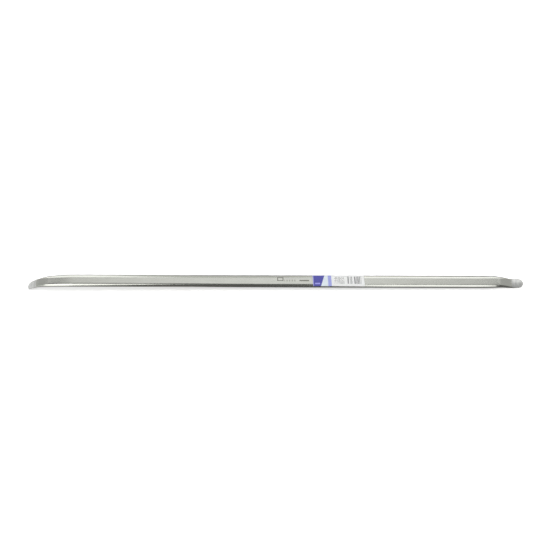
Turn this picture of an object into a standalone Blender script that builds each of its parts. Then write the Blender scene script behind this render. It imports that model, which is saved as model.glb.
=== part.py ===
"""Two-ended steel tyre lever, about one metre long.

One drop-forged bar with a flat-oval shank.  Both ends are drawn out to thin
rounded spoons that bend to the same side: a curved hook on the -X end and a
shallow joggle on the +X end.  A printed adhesive label is wrapped over the
upper side of the shank.

Frame: metres, +X along the lever towards the joggled end, +Z up.  The lever
rests on z = 0 on both tips, with the origin under the middle of its box.
"""
import math

import bmesh
import bpy
import numpy as np

# ---------------------------------------------------------------- dimensions
LENGTH = 1.000              # overall, tip to tip

SHANK_WIDTH = 0.0258        # across the flat-oval shank
SHANK_THICK = 0.0125
SHANK_ROUND = 0.0083        # how far each rounded edge reaches into the width

HOOK_BEND = 0.105           # arc length of the curved hook end
HOOK_TIP_WIDTH = 0.0166     # spoon width behind the rounded end
HOOK_TIP_ROUND = 0.0090     # length of the rounded end

JOG_BEND = 0.062            # arc length of the joggled end
JOG_TIP_WIDTH = 0.0192
JOG_TIP_ROUND = 0.0100

NECK_LENGTH = 0.110         # from the tip to the full shank section
HOOK_GROUND = 0.0270        # ground facet at each tip
JOG_GROUND = 0.0235
TIP_EDGE = 0.0016           # thickness left at the very edge

LABEL_START = 0.0746        # along X from the middle
LABEL_LENGTH = 0.1032
LABEL_THICK = 0.0003
LABEL_GAP = 0.0003          # clearance between bar and label
LABEL_NEAR = 56.0           # degrees of the near rounded edge the label covers
LABEL_FAR = 105.0           # and of the far one: the label sits off centre
LABEL_SKEW = 0.05           # sideways lean of the hand-applied label

# Distance from the tip against value, both ends
HOOK_ANGLE = [(0.000, 44.0), (0.008, 43.0), (0.017, 36.0), (0.026, 27.5), (0.034, 23.0),
              (0.044, 19.0), (0.052, 12.0), (0.062, 7.0), (0.090, 4.0), (HOOK_BEND, 0.0)]
JOG_ANGLE = [(0.000, -10.0), (0.010, -8.0), (0.020, -1.0), (0.028, 11.0), (0.034, 17.0),
             (0.042, 14.0), (0.054, 4.0), (JOG_BEND, 0.0)]
HOOK_WIDTH = [(0.009, HOOK_TIP_WIDTH * 0.95), (0.022, HOOK_TIP_WIDTH), (0.034, 0.0180),
              (0.044, 0.0205), (0.054, 0.0229), (0.072, 0.0244), (NECK_LENGTH, SHANK_WIDTH)]
JOG_WIDTH = [(0.010, JOG_TIP_WIDTH), (0.024, 0.0193), (0.036, 0.0206), (0.048, 0.0228),
             (0.060, 0.0246), (0.078, 0.0256), (NECK_LENGTH, SHANK_WIDTH)]
HOOK_UPPER = [(0.000, TIP_EDGE / 2), (HOOK_GROUND, 0.0028), (0.038, 0.0040),
              (0.058, 0.0056), (0.090, SHANK_THICK / 2)]
HOOK_LOWER = [(0.000, TIP_EDGE / 2), (HOOK_GROUND, 0.0020), (0.038, 0.0037),
              (0.058, 0.0056), (0.090, SHANK_THICK / 2)]
JOG_UPPER = [(0.000, TIP_EDGE / 2), (JOG_GROUND, 0.0026), (0.036, 0.0040),
             (0.056, 0.0056), (0.085, SHANK_THICK / 2)]
JOG_LOWER = [(0.000, 0.0014), (0.006, 0.0026), (JOG_GROUND, 0.0036), (0.036, 0.0045),
             (0.056, 0.0057), (0.085, SHANK_THICK / 2)]
EDGE_ROUND = [(0.000, 0.0010), (0.024, 0.0014), (0.034, 0.0024), (0.044, 0.0046),
              (0.060, 0.0066), (0.086, 0.0080), (NECK_LENGTH, SHANK_ROUND)]

ROUND_STEPS = 7             # facets in each quarter of a rounded edge
FLAT_STEPS = 2              # facets across each flat


# ------------------------------------------------------------------- helpers
def clear_objects():
    """Remove every object the file starts with."""
    for obj in list(bpy.data.objects):
        bpy.data.objects.remove(obj, do_unlink=True)


def smooth(stations, where):
    """Monotone cubic curve through (distance, value) stations."""
    xs, ys = np.array(stations, float).T
    step = np.diff(xs)
    rise = np.diff(ys) / step
    slope = np.zeros(len(xs))
    same = rise[:-1] * rise[1:] > 0.0
    mean = 2.0 * rise[:-1] * rise[1:] / np.where(same, rise[:-1] + rise[1:], 1.0)
    slope[1:-1] = np.where(same, mean, 0.0)
    slope[0] = rise[0]
    where = np.clip(where, xs[0], xs[-1])
    i = np.clip(np.searchsorted(xs, where) - 1, 0, len(step) - 1)
    h = step[i]
    t = (where - xs[i]) / h
    return (ys[i] * (2 * t**3 - 3 * t**2 + 1) + slope[i] * h * (t**3 - 2 * t**2 + t)
            + ys[i + 1] * (3 * t**2 - 2 * t**3) + slope[i + 1] * h * (t**3 - t**2))


def end_run(angles, bend):
    """Distance from the tip, x reach and drop, integrated from the shank outwards."""
    u = np.linspace(bend, 0.0, 601)
    theta = np.radians(smooth(angles, u))
    mid = 0.5 * (theta[1:] + theta[:-1])
    ds = bend / 600.0
    reach = np.concatenate([[0.0], np.cumsum(np.cos(mid) * ds)])
    drop = np.concatenate([[0.0], np.cumsum(np.sin(mid) * ds)])
    return u[::-1], reach[::-1], drop[::-1]


def half_width(widths, tip_round, u):
    """Half width of the outline: an elliptic nose that runs into the neck."""
    body = 0.5 * smooth(widths, u)
    nose = np.clip(1.0 - u / tip_round, 0.0, 1.0)
    return body * np.sqrt(np.clip(1.0 - nose**2, 0.0, 1.0))


def section(half_w, up, down, edge):
    """Closed outline in (y, z): two flats joined by elliptic rounded edges."""
    edge = min(edge, 0.96 * half_w)
    flat = half_w - edge
    quarter = [math.pi / 2 * k / ROUND_STEPS for k in range(ROUND_STEPS + 1)]
    ring = [(flat + edge * math.cos(a), -down * math.sin(a)) for a in reversed(quarter)]
    ring += [(flat + edge * math.cos(a), up * math.sin(a)) for a in quarter[1:]]
    ring += [(flat * (1 - 2 * k / FLAT_STEPS), up) for k in range(1, FLAT_STEPS)]
    ring += [(-flat - edge * math.cos(a), up * math.sin(a)) for a in reversed(quarter)]
    ring += [(-flat - edge * math.cos(a), -down * math.sin(a)) for a in quarter[1:]]
    ring += [(-flat * (1 - 2 * k / FLAT_STEPS), -down) for k in range(1, FLAT_STEPS)]
    return ring


def end_rings(side, angles, bend, widths, tip_round, halves, shank_end):
    """Section rings of one end, listed from the tip to the shank."""
    run_u, run_x, run_z = end_run(angles, bend)
    nose = tip_round * (1.0 - np.cos(np.linspace(0.16, math.pi / 2, 9)))
    upper, lower = halves
    facet = upper[1][0]
    body = np.linspace(tip_round, facet, 5)[1:]
    neck = np.linspace(facet, NECK_LENGTH, 21)[1:]
    rings = []
    for u in np.concatenate([nose, body, neck]):
        theta = math.radians(float(smooth(angles, u))) if u < bend else 0.0
        reach = float(np.interp(u, run_u, run_x)) if u < bend else bend - u
        drop = float(np.interp(u, run_u, run_z)) if u < bend else 0.0
        outline = section(float(half_width(widths, tip_round, u)), float(smooth(upper, u)),
                          float(smooth(lower, u)), float(smooth(EDGE_ROUND, u)))
        lean = side * math.sin(theta)
        rings.append([(side * (shank_end + reach) + z * lean, y, z * math.cos(theta) - drop)
                      for y, z in outline])
    return rings


def close_rings(bm, rings):
    """Skin a list of rings into one closed body with a fan at each end."""
    loops = [[bm.verts.new(p) for p in ring] for ring in rings]
    count = len(loops[0])
    for a, b in zip(loops[:-1], loops[1:]):
        for k in range(count):
            bm.faces.new((a[k], a[(k + 1) % count], b[(k + 1) % count], b[k]))
    for loop in (loops[0], loops[-1]):
        centre = bm.verts.new(np.mean([v.co for v in loop], axis=0))
        for k in range(count):
            bm.faces.new((loop[k], loop[(k + 1) % count], centre))
    bmesh.ops.recalc_face_normals(bm, faces=bm.faces)


def add_object(name, bm, colour, metallic, roughness, smooth_faces=True):
    """Turn a bmesh into a named object with its own material."""
    mesh = bpy.data.meshes.new(name)
    bmesh.ops.triangulate(bm, faces=[f for f in bm.faces if len(f.verts) > 4])
    bm.to_mesh(mesh)
    bm.free()
    for poly in mesh.polygons:
        poly.use_smooth = smooth_faces
    mat = bpy.data.materials.new(name)
    mat.use_nodes = True
    shader = mat.node_tree.nodes["Principled BSDF"]
    shader.inputs["Base Color"].default_value = (*colour, 1.0)
    shader.inputs["Metallic"].default_value = metallic
    shader.inputs["Roughness"].default_value = roughness
    mesh.materials.append(mat)
    obj = bpy.data.objects.new(name, mesh)
    bpy.context.collection.objects.link(obj)
    return obj


def rest_on_tips(points):
    """Tilt about Y and lift that put the lowest point of each half on z = 0."""
    tilt = 0.0
    for _ in range(4):
        c, s = math.cos(tilt), math.sin(tilt)
        x = points[:, 0] * c + points[:, 2] * s
        z = -points[:, 0] * s + points[:, 2] * c
        left, right = np.argmin(np.where(x < 0, z, 9.0)), np.argmin(np.where(x > 0, z, 9.0))
        tilt += math.atan2(z[right] - z[left], x[right] - x[left])
    c, s = math.cos(tilt), math.sin(tilt)
    x = points[:, 0] * c + points[:, 2] * s
    z = -points[:, 0] * s + points[:, 2] * c
    return tilt, -0.5 * (x.min() + x.max()), -z.min()


# --------------------------------------------------------------------- build
clear_objects()

hook_reach = float(end_run(HOOK_ANGLE, HOOK_BEND)[1][0])
jog_reach = float(end_run(JOG_ANGLE, JOG_BEND)[1][0])
edge_reach = TIP_EDGE / 2 * math.sin(math.radians(HOOK_ANGLE[0][1]))
straight = LENGTH - hook_reach - jog_reach - edge_reach
hook_x = (straight + jog_reach - hook_reach) / 2
jog_x = straight - hook_x

left = end_rings(-1, HOOK_ANGLE, HOOK_BEND, HOOK_WIDTH, HOOK_TIP_ROUND,
                 (HOOK_UPPER, HOOK_LOWER), hook_x)
right = end_rings(1, JOG_ANGLE, JOG_BEND, JOG_WIDTH, JOG_TIP_ROUND,
                  (JOG_UPPER, JOG_LOWER), jog_x)
x_from, x_to = left[-1][0][0], right[-1][0][0]
shank_outline = section(SHANK_WIDTH / 2, SHANK_THICK / 2, SHANK_THICK / 2, SHANK_ROUND)
shank = [[(x, y, z) for y, z in shank_outline]
         for x in np.linspace(x_from, x_to, 11)[1:-1]]

bar = bmesh.new()
close_rings(bar, left + shank + right[::-1])

# The label is a thin wrap a hair outside the shank, following its outline.
label = bmesh.new()
flat = SHANK_WIDTH / 2 - SHANK_ROUND
near_sweep = np.radians(np.linspace(90.0 - LABEL_NEAR, 90.0, 9))
far_sweep = np.radians(np.linspace(90.0, 90.0 - LABEL_FAR, 15))
inner = LABEL_GAP
outer = LABEL_GAP + LABEL_THICK


def label_arc(offset):
    """Open outline in (y, z) from the near edge of the label over the top to the far one."""
    rise = SHANK_THICK / 2 + offset
    reach = SHANK_ROUND + offset
    near = [(-flat - reach * math.cos(a), rise * math.sin(a)) for a in near_sweep]
    far = [(flat + reach * math.cos(a), rise * math.sin(a)) for a in far_sweep]
    return near + [(0.0, rise)] + far


label_outline = label_arc(outer) + label_arc(inner)[::-1]
label_rings = []
for x in np.linspace(LABEL_START, LABEL_START + LABEL_LENGTH, 9):
    label_rings.append([(x - LABEL_SKEW * y, y, z) for y, z in label_outline])
loops = [[label.verts.new(p) for p in ring] for ring in label_rings]
count = len(label_outline)
half = count // 2
for a, b in zip(loops[:-1], loops[1:]):
    for k in range(count):
        label.faces.new((a[k], a[(k + 1) % count], b[(k + 1) % count], b[k]))
for loop in (loops[0], loops[-1]):
    for k in range(half - 1):
        label.faces.new((loop[k], loop[k + 1], loop[count - 2 - k], loop[count - 1 - k]))
bmesh.ops.recalc_face_normals(label, faces=label.faces)

lever = add_object("lever", bar, (0.62, 0.63, 0.60), 1.0, 0.18)
sticker = add_object("label", label, (0.86, 0.87, 0.90), 0.0, 0.45)

# Stand the lever on its two tips.
points = np.array([v.co for v in lever.data.vertices])
tilt, shift, lift = rest_on_tips(points)
for obj in (lever, sticker):
    for v in obj.data.vertices:
        x, y, z = v.co
        v.co = (x * math.cos(tilt) + z * math.sin(tilt) + shift, y,
                z * math.cos(tilt) - x * math.sin(tilt) + lift)

print("straight shank", round(straight, 4), "tilt", round(math.degrees(tilt), 3))
print("underside flat", round(shift - SHANK_THICK / 2 * math.sin(tilt), 5),
      round(lift - SHANK_THICK / 2 * math.cos(tilt), 5))
for obj in (lever, sticker):
    co = np.array([v.co for v in obj.data.vertices])
    print(obj.name, len(obj.data.polygons), co.min(axis=0).round(4), co.max(axis=0).round(4))
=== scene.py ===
# %% [markdown]
# A tyre lever about a metre long: one forged steel bar under bright chrome plate, with a
# printed label wrapped over its upper side.  The bar has a flat-oval shank and two thin
# spoons, one hooked and one joggled.  The measured CAD part fixes its size and its place,
# so it is loaded first.  This script adds finer surfaces, the finishes and the light.

# %% Load the measured frame
import math

import bpy
import mathutils
import numpy as np
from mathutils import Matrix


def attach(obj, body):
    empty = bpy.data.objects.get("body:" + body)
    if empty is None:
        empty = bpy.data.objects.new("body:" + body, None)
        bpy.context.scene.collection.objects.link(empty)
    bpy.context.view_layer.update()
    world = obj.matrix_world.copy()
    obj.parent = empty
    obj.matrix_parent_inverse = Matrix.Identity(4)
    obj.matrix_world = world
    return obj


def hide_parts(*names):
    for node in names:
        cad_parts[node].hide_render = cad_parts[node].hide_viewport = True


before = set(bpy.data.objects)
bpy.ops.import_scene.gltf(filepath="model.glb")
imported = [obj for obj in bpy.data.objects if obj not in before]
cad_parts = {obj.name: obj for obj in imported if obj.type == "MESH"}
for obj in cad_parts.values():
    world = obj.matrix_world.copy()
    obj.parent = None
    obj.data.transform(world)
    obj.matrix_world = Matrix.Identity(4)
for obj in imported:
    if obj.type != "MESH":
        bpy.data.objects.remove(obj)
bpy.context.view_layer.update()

# %% [markdown]
# Colours are chosen as sRGB hex values, because that is how paint and plating are usually
# noted down.  Blender's shaders work in linear light, so one function converts them.  A
# second small function adds a shader node, sets it up and wires its inputs in one call.
# Each node could take four lines of its own, but one call keeps the wiring easy to follow.


# %% Colour and node helpers
def tint(hex_code):
    """Linear RGBA of an sRGB hex colour: each channel undone by the sRGB curve."""
    srgb = np.array([int(hex_code[i:i + 2], 16) for i in (1, 3, 5)]) / 255.0
    linear = np.where(srgb <= 0.04045, srgb / 12.92, ((srgb + 0.055) / 1.055) ** 2.4)
    return (*linear.tolist(), 1.0)


def add(tree, kind, inputs=None, **settings):
    """Add one node, set its properties, and fill or link its inputs."""
    made = tree.nodes.new(kind)
    for name, value in settings.items():
        setattr(made, name, value)
    for key, value in (inputs or {}).items():
        if isinstance(value, bpy.types.NodeSocket):
            tree.links.new(value, made.inputs[key])
        else:
            made.inputs[key].default_value = value
    return made


def new_finish(name):
    """A material with an empty node tree, its Principled shader and its output."""
    mat = bpy.data.materials.new(name)
    mat.use_nodes = True
    tree = mat.node_tree
    tree.nodes.clear()
    shader = add(tree, "ShaderNodeBsdfPrincipled")
    add(tree, "ShaderNodeOutputMaterial", {"Surface": shader.outputs["BSDF"]})
    return mat, tree, shader


print("mid grey in linear light", round(tint("#808080")[0], 3))

# %% [markdown]
# The bar is one profile carried along a path, because that is how a forging like this is
# drawn out of a single length of stock.  It could be modelled from a cage of a few faces
# and subdivided, but chrome shows every uneven face.  So its design distances are written
# down as stations: a distance from the tip, in metres, and what the bar measures there.
# They are the same as the CAD part's, on a grid that is several times finer.

# %% Design distances of the bar
LENGTH = 1.000
SHANK_HALF = 0.0129
SHANK_RISE = 0.00625
SHANK_ROUND = 0.0083
NECK = 0.110
HOOK_GROUND = 0.0270
JOG_GROUND = 0.0235
HOOK_TIP = 0.0166
TIP_EDGE = 0.0016
HOOK_NOSE = 0.0090
JOG_NOSE = 0.0100

# slope of the path in degrees, downwards towards the tip
HOOK_ANGLE = [(0.000, 44.0), (0.008, 43.0), (0.017, 36.0), (0.026, 27.5), (0.034, 23.0),
              (0.044, 19.0), (0.052, 12.0), (0.062, 7.0), (0.090, 4.0), (0.105, 0.0)]
JOG_ANGLE = [(0.000, -10.0), (0.010, -8.0), (0.020, -1.0), (0.028, 11.0), (0.034, 17.0),
             (0.042, 14.0), (0.054, 4.0), (0.062, 0.0)]
# full width
HOOK_WIDTH = [(0.009, HOOK_TIP * 0.95), (0.022, HOOK_TIP), (0.034, 0.0180),
              (0.044, 0.0205), (0.054, 0.0229), (0.072, 0.0244), (NECK, 2 * SHANK_HALF)]
JOG_WIDTH = [(0.010, 0.0192), (0.024, 0.0193), (0.036, 0.0206), (0.048, 0.0228),
             (0.060, 0.0246), (0.078, 0.0256), (NECK, 2 * SHANK_HALF)]
# thickness above and below the path
HOOK_UPPER = [(0.000, TIP_EDGE / 2), (HOOK_GROUND, 0.0028), (0.038, 0.0040),
              (0.058, 0.0056), (0.090, SHANK_RISE)]
HOOK_LOWER = [(0.000, TIP_EDGE / 2), (HOOK_GROUND, 0.0020), (0.038, 0.0037),
              (0.058, 0.0056), (0.090, SHANK_RISE)]
JOG_UPPER = [(0.000, TIP_EDGE / 2), (JOG_GROUND, 0.0026), (0.036, 0.0040),
             (0.056, 0.0056), (0.085, SHANK_RISE)]
JOG_LOWER = [(0.000, 0.0014), (0.006, 0.0026), (JOG_GROUND, 0.0036), (0.036, 0.0045),
             (0.056, 0.0057), (0.085, SHANK_RISE)]
# how far the rounded edge reaches inwards
EDGE = [(0.000, 0.0010), (0.024, 0.0014), (0.034, 0.0024), (0.044, 0.0046),
        (0.060, 0.0066), (0.086, 0.0080), (NECK, SHANK_ROUND)]
print("bends", HOOK_ANGLE[-1][0], "m at the hook,", JOG_ANGLE[-1][0], "m at the joggle")

# %% [markdown]
# Stations need a smooth curve through them.  A plain cubic spline may swing past its
# points, which would print a ripple into the chrome, so a curve that never overshoots is
# used.  The path is described by its slope, as a smith would bend it: adding up the slope
# gives the place of every section, and the length along the bar stays true.

# %% Curves through the stations
SUM_STEPS = 2001


def smooth(stations, where):
    """Monotone cubic through stations: each span is a Hermite cubic whose end slopes are
    the harmonic mean of the neighbouring rises, so the curve never overshoots."""
    xs, ys = np.array(stations, float).T
    step = np.diff(xs)
    rise = np.diff(ys) / step
    slope = np.zeros(len(xs))
    same = rise[:-1] * rise[1:] > 0.0
    mean = 2.0 * rise[:-1] * rise[1:] / np.where(same, rise[:-1] + rise[1:], 1.0)
    slope[1:-1] = np.where(same, mean, 0.0)
    slope[0] = rise[0]
    where = np.clip(where, xs[0], xs[-1])
    i = np.clip(np.searchsorted(xs, where) - 1, 0, len(step) - 1)
    t = (where - xs[i]) / step[i]
    return (ys[i] * (2 * t**3 - 3 * t**2 + 1) + ys[i + 1] * (3 * t**2 - 2 * t**3)
            + step[i] * (slope[i] * (t**3 - 2 * t**2 + t) + slope[i + 1] * (t**3 - t**2)))


def path_of(angles, u):
    """Reach, drop and slope at distance u from a tip: the cosine and sine of the slope,
    summed from where the bend starts out to u."""
    bend = angles[-1][0]
    fine = np.linspace(0.0, bend, SUM_STEPS)
    theta = np.radians(smooth(angles, fine))
    mid = 0.5 * (theta[1:] + theta[:-1])
    step = fine[1]
    reach = np.append(np.cumsum((np.cos(mid) * step)[::-1])[::-1], 0.0)
    drop = np.append(np.cumsum((np.sin(mid) * step)[::-1])[::-1], 0.0)
    inside = u < bend
    slope = np.where(inside, np.radians(smooth(angles, u)), 0.0)
    return (np.where(inside, np.interp(u, fine, reach), bend - u),
            np.where(inside, np.interp(u, fine, drop), 0.0), slope)


hook_reach, hook_drop = (float(part[0]) for part in path_of(HOOK_ANGLE, np.zeros(1))[:2])
jog_reach, jog_drop = (float(part[0]) for part in path_of(JOG_ANGLE, np.zeros(1))[:2])
print("hook drops", round(hook_drop, 4), "m, joggle drops", round(jog_drop, 4), "m")

# %% [markdown]
# Each section is a flat-oval: a flat above and below, joined by rounded edges.  Towards a
# tip the rounds shrink and the flats spread, which is what a hammer does to a round-edged
# bar.  The last 25 mm or so are ground on the upper face, which therefore breaks along a
# line across each spoon.

# %% Sections of the bar
AROUND_ROUND = 22        # points on a quarter of the rounded edge
AROUND_FLAT = 14         # points on a flat
NOSE_ROWS = 40
NECK_ROWS = 190
SHANK_ROWS = 182
FIRST_TURN = 0.05        # where the elliptic nose starts, in radians, so its tip isn't a point
ROUND_LIMIT = 0.96       # the rounded edge may take up this much of the half width


def around():
    """Corner angle and flat position of each point of a section, counter-clockwise seen
    from +X: side, level (cosine and sine of the corner angle) and share of the flat."""
    quarter = np.linspace(0.0, math.pi / 2, AROUND_ROUND)
    flat = np.linspace(1.0, -1.0, AROUND_FLAT + 2)[1:-1]
    cos_q, sin_q = np.cos(quarter), np.sin(quarter)
    out = np.concatenate([cos_q[::-1], cos_q[1:], 0 * flat,
                          -cos_q[::-1], -cos_q[1:], 0 * flat])
    lift = np.concatenate([-sin_q[::-1], sin_q[1:], 0 * flat + 1,
                           sin_q[::-1], -sin_q[1:], 0 * flat - 1])
    share = np.concatenate([np.ones(2 * AROUND_ROUND - 1), flat,
                            -np.ones(2 * AROUND_ROUND - 1), -flat])
    return out, lift, share


def end_sections(side, angles, widths, nose, halves, shank_end):
    """Sections of one end from tip to shank.  The outline is the body width times an
    elliptic nose; the centre is the summed path; the section leans with the slope; facet
    is how far inside the ground face a section lies."""
    u = np.concatenate([
        nose * (1 - np.cos(np.linspace(FIRST_TURN, math.pi / 2, NOSE_ROWS))),
        np.linspace(nose, NECK, NECK_ROWS)[1:]])
    reach, drop, slope = path_of(angles, u)
    tip = np.clip(1.0 - u / nose, 0.0, 1.0)
    body = 0.5 * smooth(widths, u)
    half = body * np.sqrt(1.0 - tip**2)
    return {"tip": tip, "body": body, "half": half,
            "x": side * (shank_end + reach), "z": -drop, "lean": side * slope,
            "facet": halves[0][1][0] - u,
            "up": smooth(halves[0], u), "down": smooth(halves[1], u),
            "edge": np.minimum(smooth(EDGE, u), ROUND_LIMIT * half)}


edge_reach = TIP_EDGE / 2 * math.sin(math.radians(HOOK_ANGLE[0][1]))
straight = LENGTH - hook_reach - jog_reach - edge_reach
hook_x = (straight + jog_reach - hook_reach) / 2
jog_x = straight - hook_x

hook = end_sections(-1, HOOK_ANGLE, HOOK_WIDTH, HOOK_NOSE, (HOOK_UPPER, HOOK_LOWER), hook_x)
jog = end_sections(1, JOG_ANGLE, JOG_WIDTH, JOG_NOSE, (JOG_UPPER, JOG_LOWER), jog_x)
middle_x = np.linspace(hook["x"][-1], jog["x"][-1], SHANK_ROWS)[1:-1]
ones = np.ones_like(middle_x)
middle = {"tip": 0 * ones, "body": SHANK_HALF * ones, "half": SHANK_HALF * ones,
          "x": middle_x, "z": 0 * ones, "lean": 0 * ones,
          "facet": -ones,
          "up": SHANK_RISE * ones, "down": SHANK_RISE * ones,
          "edge": SHANK_ROUND * ones}
bar = {key: np.concatenate([hook[key], middle[key], jog[key][::-1]]) for key in hook}
print("sections", len(bar["x"]), "straight part", round(straight, 4), "m")

# %% [markdown]
# The grid is every section times every point round it, worked out as whole arrays.  The
# ground face of each spoon is slightly domed, as a face held against a soft belt is.  It
# falls away with the square of the distance from the middle of the outline.

# %% The bar as one grid
DOME = 0.40              # share of the thickness that is gone at the rim
DOME_FADE = 0.010        # the dome fades out over this length, up to the break line

out, lift, share = around()
col = {key: value[:, None] for key, value in bar.items()}
y = (col["half"] - col["edge"]) * share + col["edge"] * out
z = np.where(lift > 0, col["up"], col["down"]) * lift
rim = np.clip((y / col["body"]) ** 2 + col["tip"] ** 2, 0, 1)
thick = col["up"] + col["down"]
fall = DOME * thick * rim * np.clip(col["facet"] / DOME_FADE, 0, 1)
z = z - fall * np.clip(lift, 0, 1)
grid = np.stack([col["x"] + z * np.sin(col["lean"]), y + 0 * col["x"],
                 col["z"] + z * np.cos(col["lean"])], axis=-1)
print("bar grid", grid.shape)

# %% [markdown]
# On the ground the lever stands on both tips.  The hook drops further than the joggle, so
# the bar lies about one degree off level.  A physics run could let it settle, but the two
# lowest points already say how it lies, so the tilt is worked out from them.

# %% Stand the bar on its tips
TILT_ROUNDS = 4


def tilt_for(points):
    """Tilt about Y, shift along X and lift that bring the lowest point of each half to the
    ground: the slope of the line between the two points is removed, a few times over."""
    tilt = 0.0
    for _ in range(TILT_ROUNDS):
        c, s = math.cos(tilt), math.sin(tilt)
        px, pz = points[:, 0] * c + points[:, 2] * s, points[:, 2] * c - points[:, 0] * s
        left = np.argmin(np.where(px < 0, pz, 9.0))
        right = np.argmin(np.where(px > 0, pz, 9.0))
        tilt += math.atan2(pz[right] - pz[left], px[right] - px[left])
    c, s = math.cos(tilt), math.sin(tilt)
    px, pz = points[:, 0] * c + points[:, 2] * s, points[:, 2] * c - points[:, 0] * s
    return tilt, -0.5 * (px.min() + px.max()), -pz.min()


tilt, shift, raise_by = tilt_for(grid.reshape(-1, 3))


def settle(points):
    """Turn about Y by the tilt, then slide and lift: the rest position of any point."""
    c, s = math.cos(tilt), math.sin(tilt)
    return np.stack([points[..., 0] * c + points[..., 2] * s + shift, points[..., 1],
                     points[..., 2] * c - points[..., 0] * s + raise_by], axis=-1)


print("tilt", round(math.degrees(tilt), 3), "degrees, lifted", round(raise_by, 5), "m")

# %% [markdown]
# A grid becomes a mesh when neighbouring points are joined by four-sided faces.  Both the
# bar and the label are closed loops carried along a path, so one function makes either.
# Each end is closed by a fan of triangles, so no piece has a hole in it.


# %% From grid to mesh
def skin(name, rings, finish):
    """A mesh from a grid of points, where each row is a closed loop: quads between
    neighbours, and a fan from the mean point of the first and of the last loop."""
    rows, count = rings.shape[:2]
    index = np.arange(rows * count).reshape(rows, count)
    nxt = np.roll(index, -1, axis=1)
    quads = np.stack([index[:-1], nxt[:-1], nxt[1:], index[1:]], axis=-1).reshape(-1, 4)
    points = rings.reshape(-1, 3)
    ends = np.stack([rings[0].mean(axis=0), rings[-1].mean(axis=0)])
    first = np.stack([np.full(count, len(points)), nxt[0], index[0]], axis=-1)
    last = np.stack([np.full(count, len(points) + 1), index[-1], nxt[-1]], axis=-1)
    mesh = bpy.data.meshes.new(name)
    mesh.from_pydata(np.vstack([points, ends]).tolist(), [],
                     quads.tolist() + first.tolist() + last.tolist())
    mesh.materials.append(finish)
    mesh.shade_smooth()
    obj = bpy.data.objects.new(name, mesh)
    bpy.context.collection.objects.link(obj)
    print(name, "triangles", sum(len(face.vertices) - 2 for face in mesh.polygons))
    return obj


def keep_field(obj, name, values, end_values):
    """Store one number for each point of the grid, then one for each end point."""
    field = obj.data.attributes.new(name, "FLOAT", "POINT")
    field.data.foreach_set("value", np.append(values, end_values).astype(np.float32))
    print(name, "kept on", len(field.data), "points")


# %% [markdown]
# Bright chrome over forged and belt-ground steel.  The plate is a mirror, but it follows
# the marks beneath it: long fine belt lines on the flats, a little waviness from the
# forging, and coarser grinding that runs at an angle on the spoon tips.  Chrome reflects
# a little over 60 per cent, here with the faint warm green that soft light gives it.  A
# picture could supply the marks, but noise stretched along the bar has no edge or repeat.

# %% Chrome: marks and colour
chrome, tree, shader = new_finish("chrome_plated_forged_steel")
shader.inputs["Metallic"].default_value = 1.0
place = add(tree, "ShaderNodeTexCoord").outputs["Object"]
ground = add(tree, "ShaderNodeAttribute", attribute_name="ground").outputs["Fac"]
# belt lines: about 0.4 mm apart across the flat and 60 mm long
belt_at = add(tree, "ShaderNodeMapping", {"Vector": place, "Scale": (16.0, 2400.0, 900.0)})
belt = add(tree, "ShaderNodeTexNoise",
           {"Vector": belt_at.outputs[0], "Scale": 1.0, "Detail": 3.0})
# grinding marks on the spoon: 0.7 mm apart, running at an angle across the tip
tip_at = add(tree, "ShaderNodeMapping", {"Vector": place, "Rotation": (0, 0, 0.9),
                                         "Scale": (1400.0, 120.0, 300.0)})
marks = add(tree, "ShaderNodeTexNoise",
            {"Vector": tip_at.outputs[0], "Scale": 1.0, "Detail": 2.0})
# slow cloudiness of the plate, in patches about 33 mm long and 11 mm wide
cloud_at = add(tree, "ShaderNodeMapping", {"Vector": place, "Scale": (30.0, 90.0, 90.0)})
cloud = add(tree, "ShaderNodeTexNoise",
            {"Vector": cloud_at.outputs[0], "Scale": 1.0, "Detail": 2.0})
shade = add(tree, "ShaderNodeMix", {0: cloud.outputs["Fac"], 6: tint("#D3D4CD"),
                                    7: tint("#C8CAC2")}, data_type="RGBA")
# the ground faces are brighter and darker in streaks, 2.4 mm apart and 9 mm long, which
# is coarser than real grinding marks so that they show
streak_at = add(tree, "ShaderNodeMapping", {"Vector": place, "Rotation": (0, 0, 0.9),
                                            "Scale": (420.0, 110.0, 110.0)})
streak = add(tree, "ShaderNodeTexNoise", {"Vector": streak_at.outputs[0], "Scale": 1.0,
                                          "Detail": 1.0})
scoured = add(tree, "ShaderNodeMix", {0: streak.outputs["Fac"], 6: tint("#A4A5A3"),
                                      7: tint("#D8D9D6")}, data_type="RGBA")
tipped = add(tree, "ShaderNodeMix", {0: ground, 6: shade.outputs[2], 7: scoured.outputs[2]},
             data_type="RGBA")
print("chrome colour nodes", len(tree.nodes))

# %% [markdown]
# Small marks are etched into the upper flat before plating: here a plain frame, a row of
# ticks and a bar.  They are far too shallow for geometry, so they are dark shapes in the
# colour, drawn from the distance along and across the bar in millimetres.

# %% Chrome: etched marks
ETCH_FRAME = (3.8, 16.2, -1.8, 6.2)      # from and to along X, then from and to along Y, mm
ETCH_HOLE = (5.6, 14.4, -0.2, 4.6)
ETCH_ROW = (17.9, 42.5, -2.9, 1.1)
ETCH_BAR = (48.2, 67.4, -2.4, 0.6)
TICK_PITCH = 2.6                         # half of the distance from tick to tick, mm
TICK_EDGE = 1.5


def rectangle(tree, along, across, box):
    """1 inside a rectangle given by its limits in mm: the distance from the middle is
    compared with half the size, both ways, and the two answers are multiplied."""
    tests = [add(tree, "ShaderNodeMath",
                 {0: value, 1: (low + high) / 2, 2: (high - low) / 2},
                 operation="COMPARE").outputs[0]
             for value, low, high in ((along, *box[:2]), (across, *box[2:]))]
    return add(tree, "ShaderNodeMath", {0: tests[0], 1: tests[1]},
               operation="MULTIPLY").outputs[0]


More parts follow.
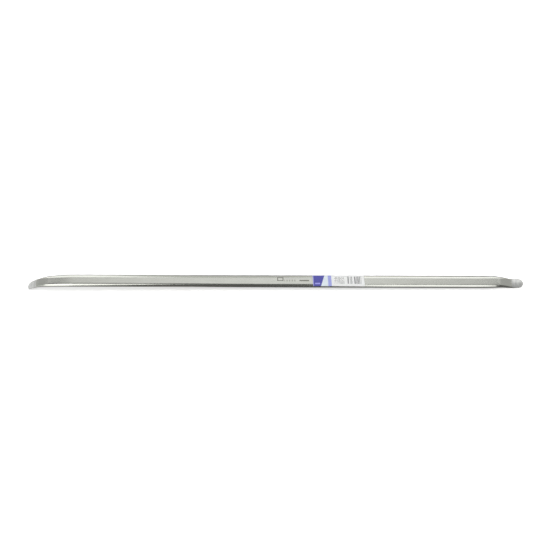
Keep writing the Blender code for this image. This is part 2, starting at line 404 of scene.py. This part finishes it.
parts = add(tree, "ShaderNodeSeparateXYZ", {0: place})
along_mm, across_mm = (add(tree, "ShaderNodeMath", {0: parts.outputs[axis], 1: 1000.0},
                           operation="MULTIPLY").outputs[0] for axis in (0, 1))
top_only = add(tree, "ShaderNodeAttribute", attribute_name="upper").outputs["Fac"]
outer, inner, row, stroke = (rectangle(tree, along_mm, across_mm, box)
                             for box in (ETCH_FRAME, ETCH_HOLE, ETCH_ROW, ETCH_BAR))
frame_mark = add(tree, "ShaderNodeMath", {0: outer, 1: inner}, operation="SUBTRACT")
comb = add(tree, "ShaderNodeMath", {0: along_mm, 1: TICK_PITCH}, operation="PINGPONG")
teeth = add(tree, "ShaderNodeMath", {0: comb.outputs[0], 1: TICK_EDGE},
            operation="GREATER_THAN")
ticks = add(tree, "ShaderNodeMath", {0: row, 1: teeth.outputs[0]}, operation="MULTIPLY")
soft_ticks = add(tree, "ShaderNodeMath", {0: ticks.outputs[0], 1: 0.45},
                 operation="MULTIPLY")
all_marks = add(tree, "ShaderNodeMath", {0: frame_mark.outputs[0], 1: soft_ticks.outputs[0]},
                operation="MAXIMUM")
all_marks = add(tree, "ShaderNodeMath", {0: all_marks.outputs[0], 1: stroke},
                operation="MAXIMUM")
etch = add(tree, "ShaderNodeMath", {0: all_marks.outputs[0], 1: top_only},
           operation="MULTIPLY")
etch = add(tree, "ShaderNodeMath", {0: etch.outputs[0], 1: 0.7}, operation="MULTIPLY")
marked = add(tree, "ShaderNodeMix", {0: etch.outputs[0], 6: tipped.outputs[2],
                                     7: tint("#6A6A62")}, data_type="RGBA")
tree.links.new(marked.outputs[2], shader.inputs["Base Color"])
print("etched from", ETCH_FRAME[0], "to", ETCH_BAR[1], "mm along the bar")

# %% [markdown]
# Roughness decides how sharp the mirror is.  Plate over a belt finish is sharp, with a
# roughness of 0.10 to 0.19, and over a scoured tip it is satin, from 0.26 to 0.44.  The
# relief is only hundredths of a millimetre, so it is bump and not geometry.

# %% Chrome: roughness and relief
rough = add(tree, "ShaderNodeMapRange", {0: belt.outputs["Fac"], 3: 0.10, 4: 0.19})
rough_tip = add(tree, "ShaderNodeMapRange", {0: marks.outputs["Fac"], 3: 0.26, 4: 0.44})
rough_mix = add(tree, "ShaderNodeMix",
                {0: ground, 2: rough.outputs[0], 3: rough_tip.outputs[0]})
tree.links.new(rough_mix.outputs[0], shader.inputs["Roughness"])
relief = add(tree, "ShaderNodeMix",
             {0: ground, 2: belt.outputs["Fac"], 3: marks.outputs["Fac"]})
fine = add(tree, "ShaderNodeBump", {"Strength": 0.25, "Distance": 0.00004,
                                    "Height": relief.outputs[0]})
wavy = add(tree, "ShaderNodeBump", {"Strength": 0.3, "Distance": 0.0002,
                                    "Height": cloud.outputs["Fac"],
                                    "Normal": fine.outputs[0]})
tree.links.new(wavy.outputs[0], shader.inputs["Normal"])
print("chrome nodes in all", len(tree.nodes))

# %% [markdown]
# The finish needs to know where the ground faces and the upper flat are.  A mask could be
# painted by hand, but the grid already knows both, so they are kept on the mesh as a
# number for each point.  The finer bar then stands in for the CAD one.

# %% Make the bar
BREAK_LINE = 0.0006      # width over which plate changes to ground face

lever = skin("chromed_bar", settle(grid), chrome)
ground_amount = np.clip(col["facet"] / BREAK_LINE, 0, 1) * np.clip(lift * 3, 0, 1)
keep_field(lever, "ground", ground_amount, [1.0, 1.0])
keep_field(lever, "upper", np.broadcast_to(lift > 0.5, grid.shape[:2]), [0.0, 0.0])
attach(lever, "root")
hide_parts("lever")

# %% [markdown]
# The label is white film about 103 mm long, printed blue at one end and with a striped
# code at the other.  It is stuck on by hand, slightly askew, over the top flat and down
# both rounded edges.  A flat sheet could be shrunk onto the bar, but the bar's section is
# known, so the sheet is bent by the same formula, a tenth of a millimetre off the plate.

# %% The label as a bent sheet
START, RUN, SKEW = 0.0746, 0.1032, 0.05
NEAR_TURN, FAR_TURN = math.radians(56.0), math.radians(105.0)
FILM = 0.00015
GAP = 0.00008
FLAT_HALF = SHANK_HALF - SHANK_ROUND
ACROSS_POINTS = 121
ALONG_POINTS = 60


def wrap(across, offset):
    """Point (y, z) of the sheet at a distance across from the middle of the flat: the
    first part crosses the flat, the rest turns round the rounded edge."""
    angle = np.clip(np.abs(across) - FLAT_HALF, 0, None) / SHANK_ROUND
    wide = np.clip(np.abs(across), 0, FLAT_HALF) + (SHANK_ROUND + offset) * np.sin(angle)
    return np.sign(across) * wide, (SHANK_RISE + offset) * np.cos(angle)


across = np.linspace(-FLAT_HALF - SHANK_ROUND * NEAR_TURN,
                     FLAT_HALF + SHANK_ROUND * FAR_TURN, ACROSS_POINTS)
outer_y, outer_z = wrap(across, GAP + FILM)
inner_y, inner_z = wrap(across[::-1], GAP)
loop_y, loop_z = np.append(outer_y, inner_y), np.append(outer_z, inner_z)
along = np.linspace(START, START + RUN, ALONG_POINTS)[:, None]
sheet = np.stack([along - SKEW * loop_y, loop_y + 0 * along, loop_z + 0 * along], axis=-1)
print("label grid", sheet.shape)

# %% [markdown]
# The film is printed vinyl under a thin clear coat, so it is satin with a soft shine.  Its
# print is drawn by sums on two lengths: how far along the label a point lies and how far
# across.  Both are kept on the mesh in millimetres, so every stripe has a real width.

# %% Label: print masks
FULL_WIDTH = (-40.0, 40.0)               # wider than the label, mm
BAND = (30.4, 37.2)
BLUE_EDGE, BLUE_LEAN = 20.0, -0.35
CODE = (69.2, 96.9, -7.6, 8.4)
SMALL_PRINT = (43.0, 63.0, -7.0, 7.0)
ROW_PITCH = 2.5

film, tree, shader = new_finish("printed_vinyl_film")
shader.inputs["Roughness"].default_value = 0.38
shader.inputs["Coat Weight"].default_value = 0.25
shader.inputs["Coat Roughness"].default_value = 0.12
run_mm = add(tree, "ShaderNodeAttribute", attribute_name="run_mm").outputs["Fac"]
side_mm = add(tree, "ShaderNodeAttribute", attribute_name="side_mm").outputs["Fac"]


def dice(tree, value, pitch):
    """A random number for each cell of the given length: divide, round down and hash."""
    cell = add(tree, "ShaderNodeMath", {0: value, 1: pitch}, operation="DIVIDE")
    cell = add(tree, "ShaderNodeMath", {0: cell.outputs[0]}, operation="FLOOR")
    return add(tree, "ShaderNodeTexWhiteNoise", {"W": cell.outputs[0]},
               noise_dimensions="1D").outputs["Value"]


# blue end: one leaning edge, run - 0.35 side = 20 mm, parts the blue from a pale field
slant = add(tree, "ShaderNodeMath", {0: side_mm, 1: BLUE_LEAN, 2: run_mm},
            operation="MULTIPLY_ADD")
cut = add(tree, "ShaderNodeMath", {0: slant.outputs[0], 1: BLUE_EDGE},
          operation="GREATER_THAN")
pale_zone = rectangle(tree, run_mm, side_mm, (2.0, BAND[0], *FULL_WIDTH))
pale = add(tree, "ShaderNodeMath", {0: cut.outputs[0], 1: pale_zone}, operation="MULTIPLY")

# striped code: bars of two thirds of a millimetre, twice the finest real bar so that they
# show, thicker and thinner on the ground in groups of about 2 mm
limit = add(tree, "ShaderNodeMath", {0: dice(tree, run_mm, 2.1), 1: 0.35, 2: 0.30},
            operation="MULTIPLY_ADD")
dark = add(tree, "ShaderNodeMath", {0: dice(tree, run_mm, 0.66), 1: limit.outputs[0]},
           operation="GREATER_THAN")
bars = add(tree, "ShaderNodeMath",
           {0: dark.outputs[0], 1: rectangle(tree, run_mm, side_mm, CODE)},
           operation="MULTIPLY")

# small print: short strokes in rows two and a half millimetres apart
shifted = add(tree, "ShaderNodeMath", {0: dice(tree, side_mm, ROW_PITCH), 1: 97.0, 2: run_mm},
              operation="MULTIPLY_ADD")
some = add(tree, "ShaderNodeMath", {0: dice(tree, shifted.outputs[0], 0.8), 1: 0.42},
           operation="GREATER_THAN")
line_at = add(tree, "ShaderNodeMath", {0: side_mm, 1: ROW_PITCH / 2}, operation="PINGPONG")
line = add(tree, "ShaderNodeMath", {0: line_at.outputs[0], 1: 0.55},
           operation="GREATER_THAN")
strokes = add(tree, "ShaderNodeMath", {0: some.outputs[0], 1: line.outputs[0]},
              operation="MULTIPLY")
strokes = add(tree, "ShaderNodeMath",
              {0: strokes.outputs[0], 1: rectangle(tree, run_mm, side_mm, SMALL_PRINT)},
              operation="MULTIPLY")
print("mask nodes", len(tree.nodes))

# %% [markdown]
# A printing press lays one ink over another, and the colour is built the same way: start
# from the white film and lay each ink where its mask is 1.  A faint crease in the film
# comes from slow noise as bump.

# %% Label: inks and crease
layers = [("#4A4AA6", rectangle(tree, run_mm, side_mm, (-1.0, BAND[1], *FULL_WIDTH))),
          ("#E2EBF2", pale.outputs[0]),
          ("#9C9CE4", rectangle(tree, run_mm, side_mm, (4.0, 14.0, -8.5, -5.5))),
          ("#A0A6E4", rectangle(tree, run_mm, side_mm, (*BAND, *FULL_WIDTH))),
          ("#9C9CE0", rectangle(tree, run_mm, side_mm, (-1.0, 1.6, *FULL_WIDTH))),
          ("#606062", bars.outputs[0]),
          ("#A8A8A8", strokes.outputs[0])]
ink = tint("#F2F3F2")
for colour, mask in layers:
    ink = add(tree, "ShaderNodeMix", {0: mask, 6: ink, 7: tint(colour)},
              data_type="RGBA").outputs[2]
tree.links.new(ink, shader.inputs["Base Color"])
place = add(tree, "ShaderNodeTexCoord").outputs["Object"]
crease = add(tree, "ShaderNodeTexNoise", {"Vector": place, "Scale": 180.0, "Detail": 2.0})
bump = add(tree, "ShaderNodeBump", {"Strength": 0.25, "Distance": 0.0001,
                                    "Height": crease.outputs["Fac"]})
tree.links.new(bump.outputs[0], shader.inputs["Normal"])
print("inks", len(layers), "label nodes in all", len(tree.nodes))

# %% [markdown]
# The bent sheet was worked out on the level bar, so it is tilted and lifted with the bar.
# Its two lengths are stored on it for the print to read.

# %% Make the label
label = skin("printed_label", settle(sheet), film)
run_values = np.broadcast_to((along - START) * 1000, sheet.shape[:2]).reshape(-1)
side_values = np.broadcast_to(np.append(across, across[::-1]) * 1000,
                              sheet.shape[:2]).reshape(-1)
keep_field(label, "run_mm", run_values, run_values[[0, -1]])
keep_field(label, "side_mm", side_values, side_values[[0, -1]])
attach(label, "root")
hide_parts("label")

# %% [markdown]
# The lever lies on a sweep of white paper.  The paper glows a little, as an overexposed
# background does, and the plate doesn't see it, because what the chrome mirrors is laid
# out on its own below.  A pale round wall six metres out closes the room in low views.

# %% Floor and wall
FLOOR_HALF = 6.0
WALL_SIDES = 64
WALL_RADIUS = 5.9
WALL_HEIGHTS = (-0.01, 6.0)


def backdrop(name, points, faces, finish):
    """A mesh of the set, which the plate doesn't see."""
    mesh = bpy.data.meshes.new(name)
    mesh.from_pydata(points, [], faces)
    mesh.materials.append(finish)
    obj = bpy.data.objects.new(name, mesh)
    bpy.context.collection.objects.link(obj)
    obj.visible_glossy = False
    return obj


paper, tree, shader = new_finish("white_paper_sweep")
shader.inputs["Base Color"].default_value = tint("#FBFBFA")
shader.inputs["Roughness"].default_value = 0.9
shader.inputs["Emission Color"].default_value = (1, 1, 1, 1)
shader.inputs["Emission Strength"].default_value = 0.45
backdrop("floor", [(-FLOOR_HALF, -FLOOR_HALF, 0), (FLOOR_HALF, -FLOOR_HALF, 0),
                   (FLOOR_HALF, FLOOR_HALF, 0), (-FLOOR_HALF, FLOOR_HALF, 0)],
         [(0, 1, 2, 3)], paper)

# the wall is a ring of points at two heights, joined by upright faces
turn = np.linspace(0.0, 2 * math.pi, WALL_SIDES + 1)[:-1]
circle = np.stack([WALL_RADIUS * np.cos(turn), WALL_RADIUS * np.sin(turn)], axis=-1)
wall_points = np.vstack([np.hstack([circle, np.full((WALL_SIDES, 1), height)])
                         for height in WALL_HEIGHTS])
spot = np.arange(WALL_SIDES)
after = np.roll(spot, -1)
wall_faces = np.stack([spot, spot + WALL_SIDES, after + WALL_SIDES, after], axis=-1)
paint, tree, shader = new_finish("pale_painted_wall")
shader.inputs["Base Color"].default_value = tint("#F4F4F2")
shader.inputs["Emission Color"].default_value = (1, 1, 1, 1)
shader.inputs["Emission Strength"].default_value = 0.62
wall = backdrop("pale_wall", wall_points.tolist(), wall_faces.tolist(), paint)
wall.visible_diffuse = False
wall.visible_shadow = False
print("wall faces", len(wall_faces))

# %% [markdown]
# Chrome shows the studio rather than itself, so the light is laid out as in a product
# studio: bright white panels to the left and right, a large one overhead, a dim boom
# above the near side, and dark gaps on the camera's side.  Area lamps would light the
# paper as well, so the panels are glowing sheets that only the plate can see.


# %% A glowing panel
def panel(name, corners, glow, fade=0.0):
    """A flat sheet that glows evenly, or fades along X as one over one plus the
    square of x over the fade length."""
    mesh = bpy.data.meshes.new(name)
    mesh.from_pydata(corners, [], [tuple(range(len(corners)))])
    mat = bpy.data.materials.new(name)
    mat.use_nodes = True
    tree = mat.node_tree
    tree.nodes.clear()
    strength = glow
    if fade:
        spot = add(tree, "ShaderNodeTexCoord").outputs["Object"]
        along_x = add(tree, "ShaderNodeSeparateXYZ", {0: spot}).outputs[0]
        ratio = add(tree, "ShaderNodeMath", {0: along_x, 1: 1 / fade}, operation="MULTIPLY")
        square = add(tree, "ShaderNodeMath", {0: ratio.outputs[0], 1: 2.0}, operation="POWER")
        low = add(tree, "ShaderNodeMath", {0: square.outputs[0], 1: 1.0}, operation="ADD")
        strength = add(tree, "ShaderNodeMath", {0: glow, 1: low.outputs[0]},
                       operation="DIVIDE").outputs[0]
    light = add(tree, "ShaderNodeEmission", {"Strength": strength})
    add(tree, "ShaderNodeOutputMaterial", {"Surface": light.outputs[0]})
    mesh.materials.append(mat)
    obj = bpy.data.objects.new(name, mesh)
    bpy.context.collection.objects.link(obj)
    obj.visible_camera = False
    obj.visible_diffuse = False
    obj.visible_shadow = False


# %% [markdown]
# Each panel is given by its corners in metres and its glow, where 1 is as bright as white
# paper.  The upper flat mirrors the overhead panel and the back wall, the rounded near
# edge mirrors the front ones, and the rims mirror what lies low down.  Their edges are
# what draws the bright and dark lines that run along the bar.

# %% Panels above and behind
panel("overhead", [(-1.3, -0.13, 2.0), (-0.30, -0.17, 2.0), (-0.08, -0.48, 2.0),
                   (1.45, -0.46, 2.0), (1.45, 1.04, 2.0), (-1.3, 1.12, 2.0)],
      0.97, fade=1.5)
BACK_PANELS = [
    ("boom", [(-1.9, -1.12, 2.05), (-0.45, -1.05, 2.05), (0.0, -0.93, 2.05),
              (1.6, -0.92, 2.05), (1.6, 0.0, 2.05), (-1.9, 0.0, 2.05)], 0.20),
    ("back_middle", [(-0.66, 2.25, 0.10), (0.25, 2.25, 0.10),
                     (0.45, 2.25, 3.7), (-0.46, 2.25, 3.7)], 0.68),
    ("back_left", [(-3.2, 2.2, 0.10), (-0.66, 2.2, 0.10),
                   (-0.46, 2.2, 3.7), (-3.2, 2.2, 3.7)], 1.45),
    ("back_right", [(0.25, 2.2, 0.45), (3.2, 2.2, 0.45),
                    (3.2, 2.2, 4.0), (0.45, 2.2, 4.0)], 1.45),
    ("back_below", [(-0.30, 2.2, -6.0), (3.2, 2.2, -6.0),
                    (3.2, 2.2, 0.45), (-0.30, 2.2, 0.10)], 0.18),
    ("back_floor", [(-3.2, 2.2, -6.0), (-0.30, 2.2, -6.0),
                    (-0.30, 2.2, 0.10), (-3.2, 2.2, 0.10)], 0.38)]
for name, corners, glow in BACK_PANELS:
    panel(name, corners, glow)
print("panels above and behind", 1 + len(BACK_PANELS))

# %% [markdown]
# The near rounded edge changes from a bright strip at the ends to a dark one in the
# middle, because a dark gap in front stands between two bright panels.

# %% Panels in front and at the sides
FRONT_PANELS = [
    ("front_left", [(-3.2, -2.2, 0.36), (-0.86, -2.2, 0.36),
                    (-0.33, -0.9, 2.0), (-3.2, -0.9, 2.0)], 1.8),
    ("front_right", [(0.34, -2.2, 0.36), (1.12, -2.2, 0.36),
                     (1.12, -0.9, 2.0), (0.34, -0.9, 2.0)], 1.5),
    ("front_far", [(1.40, -2.1, 0.36), (1.85, -2.1, 0.36),
                   (1.85, -0.8, 2.0), (1.40, -0.8, 2.0)], 1.4),
    ("front_dark", [(1.12, -2.2, -1.2), (3.2, -2.2, -1.2),
                    (3.2, -0.9, 2.0), (1.12, -0.9, 2.0)], 0.12),
    ("camera_side", [(-0.86, -2.25, -0.6), (0.34, -2.25, -0.6),
                     (0.34, -0.9, 2.0), (-0.33, -0.9, 2.0)], 0.11),
    ("floor_near", [(-1.0, -2.2, -3.0), (-0.30, -2.2, -3.0),
                    (-0.30, -2.2, -0.30), (-1.0, -2.2, -0.30)], 0.60),
    ("floor_dark", [(-0.30, -2.2, -3.0), (1.10, -2.2, -3.0),
                    (1.10, -2.2, -0.30), (-0.30, -2.2, -0.30)], 0.14),
    ("floor_left", [(-3.2, -2.2, -1.2), (-1.0, -2.2, -1.2),
                    (-1.0, -2.2, 0.36), (-3.2, -2.2, 0.36)], 1.0),
    ("left_wall", [(-2.6, -2.0, -1.6), (-2.6, 2.0, -1.6),
                   (-2.6, 2.0, 0.45), (-2.6, -2.0, 0.45)], 1.08),
    ("left_high", [(-2.6, -2.0, 0.45), (-2.6, 2.0, 0.45),
                   (-2.6, 2.0, 1.7), (-2.6, -2.0, 1.7)], 0.50),
    ("right_wall", [(2.6, -2.0, -1.6), (2.6, 2.0, -1.6),
                    (2.6, 2.0, 0.7), (2.6, -2.0, 0.7)], 0.28)]
for name, corners, glow in FRONT_PANELS:
    panel(name, corners, glow)
print("panels in front and at the sides", len(FRONT_PANELS))

# %% [markdown]
# One broad lamp over the near side lights the paper and the label, and throws the soft
# shadow under the bar.  A world that is a little darker below the horizon fills the rest.
# A sky picture would do that too, but it would put strange shapes into the chrome.

# %% Key lamp and world
key = bpy.data.lights.new("key", "AREA")
key.shape = "RECTANGLE"
key.size, key.size_y = 0.9, 0.7
key.energy = 24.0
key_lamp = bpy.data.objects.new("key", key)
key_lamp.location = (0.0, -0.30, 2.4)
bpy.context.collection.objects.link(key_lamp)
key_lamp.visible_glossy = False
key_lamp.visible_camera = False

world = bpy.data.worlds.new("studio")
world.use_nodes = True
sky = world.node_tree
upward = add(sky, "ShaderNodeTexCoord").outputs["Generated"]
height = add(sky, "ShaderNodeSeparateXYZ", {0: upward})
level = add(sky, "ShaderNodeMapRange",
            {0: height.outputs[2], 1: -0.08, 2: 0.08, 3: 0.28, 4: 0.50})
backing = sky.nodes["Background"]
backing.inputs["Color"].default_value = (1, 1, 1, 1)
sky.links.new(level.outputs[0], backing.inputs["Strength"])
bpy.context.scene.world = world
print("key lamp", key.energy, "W at", tuple(key_lamp.location))

# %% [markdown]
# The camera stands in front of the lever and well above it, about two metres away, with
# a moderate long lens so the bar hardly tapers.  It is rolled by a third of a degree,
# as a hand-held or hastily levelled camera is.

# %% Camera
ELEVATION = math.radians(65.0)
ROLL = math.radians(-0.32)
DISTANCE = 1.90
SENSOR = 36.0            # mm
VIEW_WIDTH = 1.108       # metres across the picture, at the lever
camera = bpy.data.cameras.new("camera")
camera.sensor_width = SENSOR
camera.lens = SENSOR * DISTANCE / VIEW_WIDTH
camera.clip_end = 50.0
eye = bpy.data.objects.new("camera", camera)
target = np.array([-0.0006, 0.0160, 0.016])
eye.location = (target[0], target[1] - DISTANCE * math.cos(ELEVATION),
                target[2] + DISTANCE * math.sin(ELEVATION))
view = mathutils.Matrix.Rotation(math.pi / 2 - ELEVATION, 3, "X")
eye.rotation_euler = (view @ mathutils.Matrix.Rotation(ROLL, 3, "Z")).to_euler()
bpy.context.collection.objects.link(eye)
bpy.context.scene.camera = eye
bpy.context.scene.view_settings.view_transform = "Standard"
print("lens", round(camera.lens, 1), "mm")
